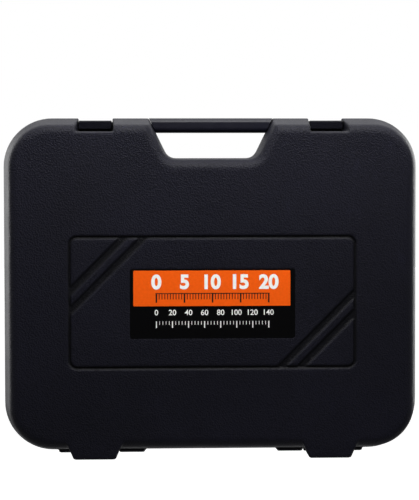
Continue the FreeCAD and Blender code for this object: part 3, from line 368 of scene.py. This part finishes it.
def softness(points):
    """How far each point of a shell may be smoothed: little at the panel and at the hinge."""
    x, y, z = points[:, 0], points[:, 1], points[:, 2]
    weight = numpy.ones(len(points))
    on_face = abs(y) > abs(FACE_Y) - FACE_SKIN
    panel = on_face & (abs(x) < PANEL_HALF_WIDTH) & (z > PANEL_LOW) & (z < PANEL_HIGH)
    weight[panel] = PANEL_SOFTNESS
    weight[(abs(y) < HINGE_HALF_DEPTH) & (z < HINGE_TOP)] = HINGE_SOFTNESS
    return weight


BOSS_SPAN = 86 * MM, 104 * MM
BESIDE_BOSS = 83 * MM
EDGE_Y, EDGE_Z = 42 * MM, 388 * MM
OUTSIDE = 60 * MM


def level_bosses(mesh):
    """Bring the screw bosses back to the rear edge's rounding, as it is beside them."""
    tree = BVHTree.FromPolygons([vertex.co for vertex in mesh.vertices],
                                [tuple(polygon.vertices) for polygon in mesh.polygons])
    for vertex in mesh.vertices:
        x, y, z = vertex.co
        if BOSS_SPAN[0] < abs(x) < BOSS_SPAN[1] and y > EDGE_Y and z > EDGE_Z:
            centre = Vector((math.copysign(BESIDE_BOSS, x), EDGE_Y, EDGE_Z))
            arm = Vector((0, y - EDGE_Y, z - EDGE_Z))
            hit = tree.ray_cast(centre + arm.normalized() * OUTSIDE, -arm)[0]
            if hit and (hit - centre).length < arm.length:
                arm.length = (hit - centre).length
                vertex.co = (x, EDGE_Y + arm.y, EDGE_Z + arm.z)


SEAM_REACH = 0.7 * MM
KNUCKLE_TOP = 8 * MM
KEPT_FACES = 0.16


def soften_shell(node, body, voxel, passes):
    """A blow-moulded copy of a case half: its edges, notches and feet run together softly.
    Its rim is set back on the seam, so no light shows between the halves."""
    work = bpy.data.objects.new(node + "_work", nodes[node].data.copy())
    SCENE.collection.objects.link(work)
    remesh = work.modifiers.new("voxels", "REMESH")
    remesh.mode = "VOXEL"
    remesh.voxel_size = voxel
    fine = applied(work)
    work.modifiers.clear()
    work.data = fine
    points = numpy.empty(len(fine.vertices) * 3)
    fine.vertices.foreach_get("co", points)
    group = work.vertex_groups.new(name="softness")
    weights = softness(points.reshape(-1, 3))
    for level in numpy.unique(weights):
        group.add(numpy.flatnonzero(weights == level).tolist(), float(level), "REPLACE")
    smooth = work.modifiers.new("soften", "SMOOTH")
    smooth.factor = 0.5
    smooth.iterations = passes
    smooth.vertex_group = "softness"
    decimate = work.modifiers.new("thin", "DECIMATE")
    decimate.ratio = KEPT_FACES
    result = applied(work)
    bpy.data.objects.remove(work)
    for vertex in result.vertices:
        if abs(vertex.co.y) < SEAM_REACH and vertex.co.z > KNUCKLE_TOP:
            vertex.co.y = 0
    if node == "base_shell":
        level_bosses(result)
    shade_smooth(result)
    piece = add_object(node.replace("_shell", "_moulding"), result, finishes["case"], body)
    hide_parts(node)
    return piece


BEVEL_FROM = math.radians(35)


def soften_edges(node, width, segments=3):
    """Round the edges of a CAD piece that stays."""
    bevel = nodes[node].modifiers.new("edges", "BEVEL")
    bevel.width = width
    bevel.segments = segments
    bevel.limit_method = "ANGLE"
    bevel.angle_limit = BEVEL_FROM
    bevel.harden_normals = True


# ---------------------------------------------------------------- turned pieces

TOOTH_STEPS = 4


def lathe(name, profile, origin, axis, segments=64, teeth=0):
    """A turned mesh around an axis; profile points are (radius, distance, cut) in millimetres,
    and a cut is how deep the knurl's teeth go there."""
    points, faces = [], []
    along = Vector(axis).normalized()
    side = along.orthogonal().normalized()
    third = along.cross(side)
    around = teeth * TOOTH_STEPS if teeth else segments
    for radius, distance, *cut in profile:
        for step in range(around):
            deep = cut[0] if cut and step % TOOTH_STEPS >= TOOTH_STEPS / 2 else 0
            angle = 2 * math.pi * step / around
            reach = (radius - deep) * MM
            points.append(origin + along * distance * MM
                          + side * reach * math.cos(angle) + third * reach * math.sin(angle))
    rings = len(profile)
    for ring in range(rings):
        after = (ring + 1) % rings
        for step in range(around):
            ahead = (step + 1) % around
            faces.append((ring * around + step, ring * around + ahead,
                          after * around + ahead, after * around + step))
    mesh = bpy.data.meshes.new(name)
    mesh.from_pydata(points, [], faces)
    mesh.validate()
    return mesh


def add_turned(name, mesh, sharp_from, body, slot, node):
    """A turned piece that stands for a CAD node, with its edges kept crisp."""
    piece = add_object(name, mesh, finishes[slot], body)
    shade_smooth(mesh, sharp_from)
    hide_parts(node)


KNURL_DEPTH = 0.55
KNURL_TEETH = 44
SHOULDER_SHARE = 0.62


def dress_adapter(node):
    """A cap adapter with a knurled skirt, a turned shoulder and a grooved nipple."""
    low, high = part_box(node)
    radius = (high.x - low.x) / 2 / MM
    shoulder = radius * SHOULDER_SHARE
    origin = Vector(((low.x + high.x) / 2, high.y, (low.z + high.z) / 2))
    profile = [
        (radius - 3, 0), (radius - 0.9, 0), (radius - 0.05, 0.9), (radius - 0.05, 2),
        (radius - 0.05, 2.6, KNURL_DEPTH), (radius - 0.05, 10.8, KNURL_DEPTH),
        (radius - 0.05, 11.4), (radius - 0.05, 12.4), (radius - 1.6, 13.95), (radius - 2.6, 13.95),
        (radius - 3.2, 13.3), (shoulder + 2.6, 13.3), (shoulder + 2, 13.95), (shoulder + 0.6, 13.95),
        (shoulder, 14.6),
        (shoulder, 20.6), (shoulder - 1.3, 21.95), (shoulder - 3, 21.95), (shoulder - 3.5, 21.4),
        (7.6, 21.4), (6.45, 22.4), (6.45, 26.2), (5.3, 27.2), (5.3, 29.4), (6.45, 30.4), (6.45, 34.1),
        (5.7, 34.95), (3.6, 34.95), (3, 34.3), (3, 11), (radius - 3, 11),
    ]
    name = node + "_turned"
    mesh = lathe(name, profile, origin, (0, -1, 0), teeth=KNURL_TEETH)
    add_turned(name, mesh, 28, "base", node.replace("cap_adapter", "anodised"), node)


GRIP_RIBS = 33
BOSS_RIBS = 6
RIB_DEPTH = 0.55
GRIP_SWELL = 1.5


def dress_grip():
    """The pump's moulded cross grip: ribbed halves, round ends and a boss for the rod."""
    low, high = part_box("pump_grip")
    half = (high.z - low.z) / 2 / MM
    thick = (high.y - low.y) / 2 / MM
    centre = Vector((low.x + thick * MM, (low.y + high.y) / 2, (low.z + high.z) / 2))
    profile = [(0.01, -half), (thick - 3, -half), (thick - 1, -half + 0.9), (thick - 0.1, -half + 3)]
    for step in range(-GRIP_RIBS, GRIP_RIBS + 1):
        distance = step * (half - 6) / GRIP_RIBS
        if abs(step) > BOSS_RIBS:
            swell = thick - GRIP_SWELL * math.cos(math.pi / 2 * abs(step) / GRIP_RIBS) - 0.1
            profile.append((swell - (RIB_DEPTH if step % 2 else 0), distance))
        elif abs(step) in (0, BOSS_RIBS):
            profile.append((thick - 1.6, distance))
    profile += [(thick - 0.1, half - 3), (thick - 1, half - 0.9), (thick - 3, half), (0.01, half)]
    bar_mesh = lathe("grip_bar", profile, centre, (0, 0, 1), segments=48)
    reach = (high.x - centre.x) / MM
    boss_profile = [(0.01, 0), (7.4, 0), (7.4, reach - 1.6), (6.4, reach - 0.05),
                    (4.2, reach - 0.05), (0.01, reach - 0.6)]
    boss_mesh = lathe("grip_boss", boss_profile, centre, (1, 0, 0), segments=48)
    mesh = merge("grip_moulding", [bar_mesh, boss_mesh])
    add_turned("grip_moulding", mesh, 40, "pump_rod", "handle", "pump_grip")


CONE_RIBS = 9
CONE_TIP, CONE_BORE = 10, 5


def dress_cone():
    """The purge unit's filler cone: moulded rubber with sealing ribs."""
    low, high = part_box("filler_cone")
    origin = Vector((low.x, (low.y + high.y) / 2, (low.z + high.z) / 2))
    length, wide = (high.x - low.x) / MM, (high.z - low.z) / 2 / MM
    profile = [(CONE_BORE, 0), (wide - 1.2, 0), (wide - 0.05, 1.2), (wide - 0.05, 6.4), (wide - 1, 7.6)]
    for index in range(CONE_RIBS):
        start = 8.2 + (length - 10) * index / CONE_RIBS
        taper = wide - 1.4 - (wide - CONE_TIP - 1) * index / CONE_RIBS
        after = wide - 1.4 - (wide - CONE_TIP - 1) * (index + 1) / CONE_RIBS
        profile += [(taper - 0.7, start), (taper, start + 0.8), (after + 0.5, start + 3.6),
                    (after - 0.3, start + 4.2)]
    profile += [(CONE_TIP - 1, length - 0.6), (CONE_TIP - 1.8, length - 0.05),
                (CONE_BORE + 0.6, length - 0.05), (CONE_BORE, length - 0.6)]
    mesh = lathe("cone_moulding", profile, origin, (1, 0, 0), segments=72)
    add_turned("cone_moulding", mesh, 35, "base", "rubber", "filler_cone")


LATCH_BARREL = 5 * MM
BOSS_GAP = 0.12 * MM
BOSS_PROFILE = [(1.55, 0), (4.9, 0), (4.9, 1.9), (1.55, 1.9)]


def dress_pivots():
    """Bosses on the base half's notch walls, which hold the latches' pins and fill the side gaps."""
    bosses = []
    for node in ("latch_left", "latch_right"):
        low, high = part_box(node)
        for x, outward in ((low.x, -1), (high.x, 1)):
            start = Vector((x + outward * BOSS_GAP, high.y - LATCH_BARREL, low.z + LATCH_BARREL))
            bosses.append(lathe("boss", BOSS_PROFILE, start, (outward, 0, 0), segments=32))
    add_object("latch_bosses", merge("latch_bosses", bosses), finishes["case"], "base")


# ---------------------------------------------------------------- printed scales

def flat_plate(name, outline, y_back, y_front):
    """A thin plate between two depths, from an outline of (x, z) points."""
    count = len(outline)
    corners = [(x, y_back, z) for x, z in outline] + [(x, y_front, z) for x, z in outline]
    faces = [tuple(range(count)), tuple(range(2 * count - 1, count - 1, -1))]
    for index in range(count):
        after = (index + 1) % count
        faces.append((index, index + count, after + count, after))
    mesh = bpy.data.meshes.new(name)
    mesh.from_pydata(corners, [], faces)
    mesh.validate()
    return mesh


CORNER_STEPS = 6


def rounded_outline(low_x, high_x, low_z, high_z, radius):
    """The outline of a rectangle with rounded corners."""
    outline = []
    for x, z, start in ((high_x - radius, low_z + radius, -90), (high_x - radius, high_z - radius, 0),
                        (low_x + radius, high_z - radius, 90), (low_x + radius, low_z + radius, 180)):
        for step in range(CORNER_STEPS + 1):
            angle = math.radians(start + 90 * step / CORNER_STEPS)
            outline.append((x + radius * math.cos(angle), z + radius * math.sin(angle)))
    return outline


def bar(outlines, low_x, high_x, low_z, high_z):
    """Add an upright rectangle to a list of outlines."""
    outlines.append([(low_x, low_z), (high_x, low_z), (high_x, high_z), (low_x, high_z)])


def merge(name, meshes):
    """One mesh out of several."""
    points, faces = [], []
    for mesh in meshes:
        offset = len(points)
        points.extend(tuple(vertex.co) for vertex in mesh.vertices)
        faces.extend(tuple(index + offset for index in polygon.vertices) for polygon in mesh.polygons)
    merged = bpy.data.meshes.new(name)
    merged.from_pydata(points, [], faces)
    return merged


def bars_mesh(name, outlines, y_back, y_front):
    return merge(name, [flat_plate(name, outline, y_back, y_front) for outline in outlines])


NUMERAL_SHARE = 0.69


def numeral_mesh(text, height, thickness, bold):
    """A plain number as a mesh that faces the front, centred on the origin."""
    curve = bpy.data.curves.new("numeral", "FONT")
    curve.body = text
    curve.size = height / NUMERAL_SHARE
    curve.align_x = "CENTER"
    curve.align_y = "CENTER"
    curve.extrude = thickness / 2
    curve.offset = bold
    item = bpy.data.objects.new("numeral", curve)
    SCENE.collection.objects.link(item)
    mesh = applied(item)
    bpy.data.objects.remove(item)
    across, up = ([vertex.co[axis] for vertex in mesh.vertices] for axis in (0, 1))
    middle = (min(across) + max(across)) / 2, (min(up) + max(up)) / 2
    mesh.transform(Matrix.Translation((-middle[0], -middle[1], 0)))
    mesh.transform(Matrix.Rotation(math.radians(90), 4, "X"))
    return mesh


def numerals(name, texts, places, height, y_back, y_front, bold):
    """One mesh of plain numbers at their places, between two depths."""
    made = []
    for text, (x, z) in zip(texts, places):
        mesh = numeral_mesh(text, height, y_back - y_front, bold)
        mesh.transform(Matrix.Translation((x, (y_back + y_front) / 2, z)))
        made.append(mesh)
    return merge(name, made)


LABEL_SKIN = FACE_Y + 0.18 * MM
FIELD_BACK, FIELD_FRONT = FACE_Y + 0.2 * MM, FACE_Y + 0.1 * MM
INK_BACK, INK_FRONT = FACE_Y + 0.12 * MM, FACE_Y + 0.03 * MM
LABEL_CORNER, FIELD_CORNER = 1.5 * MM, 1.2 * MM
# places on the label, as shares of its width from the left and of its height from the top
FIELD_SPAN, FIELD_TOP, FIELD_BOTTOM = (0.021, 0.971), 0.026, 0.534
SCALE_SPAN = 0.16, 0.84
LARGE_NUMBER_HEIGHT, LARGE_LINE_TOP, LARGE_TICK_TOP = 0.188, 0.348, 0.36
SMALL_NUMBER_HEIGHT, SMALL_TICK_TOP = 0.625, 0.75
LINE_OVERHANG = 1 * MM


def label_x(share):
    """A place along the label, from 0 at its left edge to 1 at its right."""
    return LABEL_LOW.x + (LABEL_HIGH.x - LABEL_LOW.x) * share


def label_z(share):
    """A height on the label, from 0 at its top to 1 at its bottom."""
    return LABEL_HIGH.z - (LABEL_HIGH.z - LABEL_LOW.z) * share


def spread(low, high, count):
    """Evenly spaced places from low to high."""
    return [low + (high - low) * index / (count - 1) for index in range(count)]


def tick_row(low, high, count, every, top, short, tall, width):
    """Upright tick marks that hang from one height; each so many is taller and bolder."""
    outlines = []
    for index, x in enumerate(spread(low, high, count)):
        major = index % every == 0
        half = width * (0.9 if major else 0.5)
        bar(outlines, x - half, x + half, top - (tall if major else short), top)
    return outlines


LABEL_FILM = plain_finish("label_film", (0.0012, 0.0012, 0.0014), "film")
ORANGE_INK = plain_finish("orange_ink", (0.82, 0.1, 0.004), "dull ink")
WHITE_INK = plain_finish("white_ink", (0.86, 0.86, 0.84), "bright ink")
DARK_INK = plain_finish("dark_ink", (0.012, 0.008, 0.008), "dull ink")


def add_print(name, mesh, ink):
    return add_object(name, mesh, ink, "lid")


def add_scale_numbers(name, texts, height_share, height, bold):
    """A row of plain numbers, spread evenly along the label's scale."""
    low, high = map(label_x, SCALE_SPAN)
    places = [(x, label_z(height_share)) for x in spread(low, high, len(texts))]
    add_print(name, numerals(name, texts, places, height, INK_BACK, INK_FRONT, bold), WHITE_INK)


def build_label():
    """The label plate with two plain printed scales: one on an orange field, one on black."""
    outline = rounded_outline(LABEL_LOW.x, LABEL_HIGH.x, LABEL_LOW.z, LABEL_HIGH.z, LABEL_CORNER)
    plate = add_print("label_skin", flat_plate("label_skin", outline, LABEL_HIGH.y, LABEL_SKIN), LABEL_FILM)
    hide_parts("label_plate")
    left, right = map(label_x, FIELD_SPAN)
    field = rounded_outline(left, right, label_z(FIELD_BOTTOM), label_z(FIELD_TOP), FIELD_CORNER)
    add_print("label_field", flat_plate("label_field", field, FIELD_BACK, FIELD_FRONT), ORANGE_INK)
    low, high = map(label_x, SCALE_SPAN)
    texts = [str(5 * index) for index in range(5)]
    add_scale_numbers("label_numbers", texts, height_share=LARGE_NUMBER_HEIGHT,
                      height=16 * MM, bold=0.95 * MM)
    ticks = tick_row(low, high, count=41, every=10, top=label_z(LARGE_TICK_TOP), short=6.5 * MM,
                     tall=10.5 * MM, width=1.0 * MM)
    bar(ticks, low - LINE_OVERHANG, high + LINE_OVERHANG, label_z(LARGE_TICK_TOP), label_z(LARGE_LINE_TOP))
    add_print("label_dark_ticks", bars_mesh("label_dark_ticks", ticks, INK_BACK, INK_FRONT), DARK_INK)
    texts = [str(20 * index) for index in range(8)]
    add_scale_numbers("label_small_numbers", texts, height_share=SMALL_NUMBER_HEIGHT,
                      height=6.4 * MM, bold=0.1 * MM)
    ticks = tick_row(low, high, count=36, every=5, top=label_z(SMALL_TICK_TOP), short=4.2 * MM,
                     tall=8 * MM, width=0.7 * MM)
    add_print("label_white_ticks", bars_mesh("label_white_ticks", ticks, INK_BACK, INK_FRONT), WHITE_INK)


DIAL_START, DIAL_SWEEP = -135, 270
DIAL_TICKS = 60
# how often a mark comes, where it starts as a share of the dial's radius, and half its width
DIAL_MARKS = (10, 0.74, 0.55 * MM), (2, 0.81, 0.28 * MM), (1, 0.85, 0.16 * MM)
DIAL_NUMBERS, NUMBER_STEP = 7, 5
TICK_OUTER, NUMBER_CIRCLE, NUMBER_HEIGHT = 0.92, 0.56, 0.15
DIAL_INK = 0.12 * MM


def dial_direction(share):
    """The direction, as (across, up), of a place on a dial's scale from 0 to 1."""
    angle = math.radians(DIAL_START + DIAL_SWEEP * share)
    return Vector((math.sin(angle), math.cos(angle)))


def build_dial(prefix):
    """Marks and numbers on a gauge's dial, from 0 to 30 over three quarters of a turn."""
    low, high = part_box(prefix + "_dial")
    middle, radius = (low + high) / 2, (high.x - low.x) / 2
    face = low.y
    marks = []
    for index in range(DIAL_TICKS + 1):
        start, half = next(mark[1:] for mark in DIAL_MARKS if index % mark[0] == 0)
        along = dial_direction(index / DIAL_TICKS)
        across = Vector((along.y, -along.x)) * half
        inner, outer = along * radius * start, along * radius * TICK_OUTER
        outline = [inner - across, inner + across, outer + across, outer - across]
        marks.append([(middle.x + point.x, middle.z + point.y) for point in outline])
    name = prefix + "_marks"
    add_object(name, bars_mesh(name, marks, face, face - DIAL_INK), DARK_INK, "base")
    texts, places = [], []
    for index in range(DIAL_NUMBERS):
        reach = dial_direction(index / (DIAL_NUMBERS - 1)) * radius * NUMBER_CIRCLE
        texts.append(str(NUMBER_STEP * index))
        places.append((middle.x + reach.x, middle.z + reach.y))
    name = prefix + "_numbers"
    mesh = numerals(name, texts, places, radius * NUMBER_HEIGHT, face, face - DIAL_INK, 0.03 * MM)
    add_object(name, mesh, DARK_INK, "base")


soften_shell("lid_shell", "lid", voxel=1.2 * MM, passes=8)
soften_shell("base_shell", "base", voxel=1.5 * MM, passes=6)
soften_edges("carry_handle", 1.2 * MM)
soften_edges("latch_left", 0.7 * MM)
soften_edges("latch_right", 0.7 * MM)
for node in ("pump_end_cap", "pump_head", "venturi_body", "valve_lever", "pump_gauge_case",
             "vacuum_gauge_case", "pump_gauge_bezel", "vacuum_gauge_bezel", "spare_cones"):
    soften_edges(node, 0.5 * MM, segments=2)
for name in nodes:
    if name.startswith("cap_adapter_"):
        dress_adapter(name)
dress_grip()
dress_cone()
dress_pivots()
build_label()
build_dial("pump_gauge")
build_dial("vacuum_gauge")


# ---------------------------------------------------------------- stage, lights, camera

FLOOR_DEPTH = 0.44
FLOOR_REACH = 14
FLOOR_GLOW = 0.95
ROOM_LIGHT = 0.09


def stage_material():
    """A pale floor that reads white past the shadow, to the camera and seen through clear parts."""
    graph = Finish("stage")
    graph.set("Base Color", (*grey(0.5), 1))
    graph.set("Roughness", 0.9)
    graph.set("Specular IOR Level", 0.1)
    path = graph.node("ShaderNodeLightPath").outputs
    seen = graph.calculate("MAXIMUM", path["Is Camera Ray"], path["Is Transmission Ray"])
    graph.set("Emission Color", (*WHITE, 1))
    graph.link(graph.calculate("MULTIPLY", seen, FLOOR_GLOW), graph.shader.inputs["Emission Strength"])
    return graph.material


def make_floor():
    """A level floor below the case, with room for the lid to swing down."""
    mesh = bpy.data.meshes.new("floor")
    corners = [(x * FLOOR_REACH, y * FLOOR_REACH, -FLOOR_DEPTH)
               for x, y in ((-1, -1), (1, -1), (1, 1), (-1, 1))]
    mesh.from_pydata(corners, [], [(0, 1, 2, 3)])
    floor = bpy.data.objects.new("floor", mesh)
    mesh.materials.append(stage_material())
    SCENE.collection.objects.link(floor)


def make_world():
    """White to the camera, a dim room to the object: brighter behind it, above and at the sides."""
    world = bpy.data.worlds.new("studio")
    world.use_nodes = True
    graph = Nodes(world.node_tree)
    background = graph.tree.nodes["Background"]
    background.inputs["Color"].default_value = (*WHITE, 1)
    path = graph.node("ShaderNodeLightPath").outputs
    x, y, z = graph.axes(graph.node("ShaderNodeTexCoord").outputs["Generated"])
    behind = graph.map_range(y, -0.1, 0.35, 0.0, 0.8, "SMOOTHSTEP")
    above = graph.map_range(z, 0.35, 0.95, 0.02, 2.4, "SMOOTHSTEP")
    sides = graph.map_range(graph.calculate("ABSOLUTE", x, 0), 0.5, 0.95, 0.0, 1.6, "SMOOTHSTEP")
    room = graph.calculate("MAXIMUM", graph.calculate("MAXIMUM", behind, above), sides)
    glossy = graph.calculate("MULTIPLY", path["Is Glossy Ray"], room)
    seen = graph.calculate("MAXIMUM", path["Is Camera Ray"], path["Is Transmission Ray"])
    diffuse = graph.calculate("MULTIPLY", path["Is Diffuse Ray"], ROOM_LIGHT)
    shown = graph.calculate("MAXIMUM", graph.calculate("MAXIMUM", seen, glossy), diffuse)
    graph.link(shown, background.inputs["Strength"])
    SCENE.world = world


# name: where it stands, what it faces, its width and height, and its power in watts
LAMPS = {
    "key": ((0.05, -0.4, 0.8), (0, 0, 0.3), (0.8, 0.3), 9.2),
    "fill": ((0.9, -2.2, 1.2), (0, 0, 0.2), (1.4, 1.2), 1.2),
    "rim_top": ((0.0, 1.2, 1.5), (0, 0, 0.4), (1.6, 0.6), 5),
    "overhead": ((0, 0.15, 1.3), (0, 0, 0.4), (1.4, 0.4), 2.2),
    "rim_left": ((-1.4, 1.1, 0.5), (-0.25, 0, 0.2), (0.6, 1.2), 20),
    "rim_right": ((1.4, 1.1, 0.5), (0.25, 0, 0.2), (0.6, 1.2), 22),
}


def soft_box(name, position, target, size, watts):
    """A rectangular lamp that the camera doesn't see."""
    data = bpy.data.lights.new(name, "AREA")
    data.shape = "RECTANGLE"
    data.size, data.size_y = size
    data.energy = watts
    lamp = bpy.data.objects.new(name, data)
    lamp.location = position
    lamp.rotation_euler = (Vector(target) - Vector(position)).to_track_quat("-Z", "Y").to_euler()
    lamp.visible_camera = False
    SCENE.collection.objects.link(lamp)


PHOTO = {"width": 419, "height": 500, "case_width": 411.9, "centre_row": 283.8, "centre_column": 210.7}
CAMERA_DISTANCE = 2.0
CAMERA_YAW = math.radians(-2.2)
CAMERA_PITCH = math.radians(2.1)
CAMERA_ROLL = math.radians(-0.1)
SENSOR = 36.0
BODY_HALF_HEIGHT = 204 * MM
BODY_MIDDLE = CASE_HIGH.z - BODY_HALF_HEIGHT


def make_camera():
    """The photograph's view: two metres away, a touch to the left and a little above."""
    scale = (CASE_HIGH.x - CASE_LOW.x) / PHOTO["case_width"]
    data = bpy.data.cameras.new("camera")
    data.sensor_width = SENSOR
    data.lens = SENSOR * CAMERA_DISTANCE / scale / PHOTO["height"]
    camera = bpy.data.objects.new("camera", data)
    target = Vector((LABEL_MIDDLE.x + (PHOTO["width"] / 2 - PHOTO["centre_column"]) * scale, 0,
                     BODY_MIDDLE + (PHOTO["centre_row"] - PHOTO["height"] / 2) * scale))
    back = Vector((math.sin(CAMERA_YAW) * math.cos(CAMERA_PITCH),
                   -math.cos(CAMERA_YAW) * math.cos(CAMERA_PITCH), math.sin(CAMERA_PITCH)))
    camera.location = target + back * CAMERA_DISTANCE
    look = (-back).to_track_quat("-Z", "Y").to_matrix() @ Matrix.Rotation(CAMERA_ROLL, 3, "Z")
    camera.rotation_euler = look.to_euler()
    SCENE.collection.objects.link(camera)
    SCENE.camera = camera


make_floor()
make_world()
for name, settings in LAMPS.items():
    soft_box(name, *settings)
make_camera()

SCENE.view_settings.view_transform = "Standard"
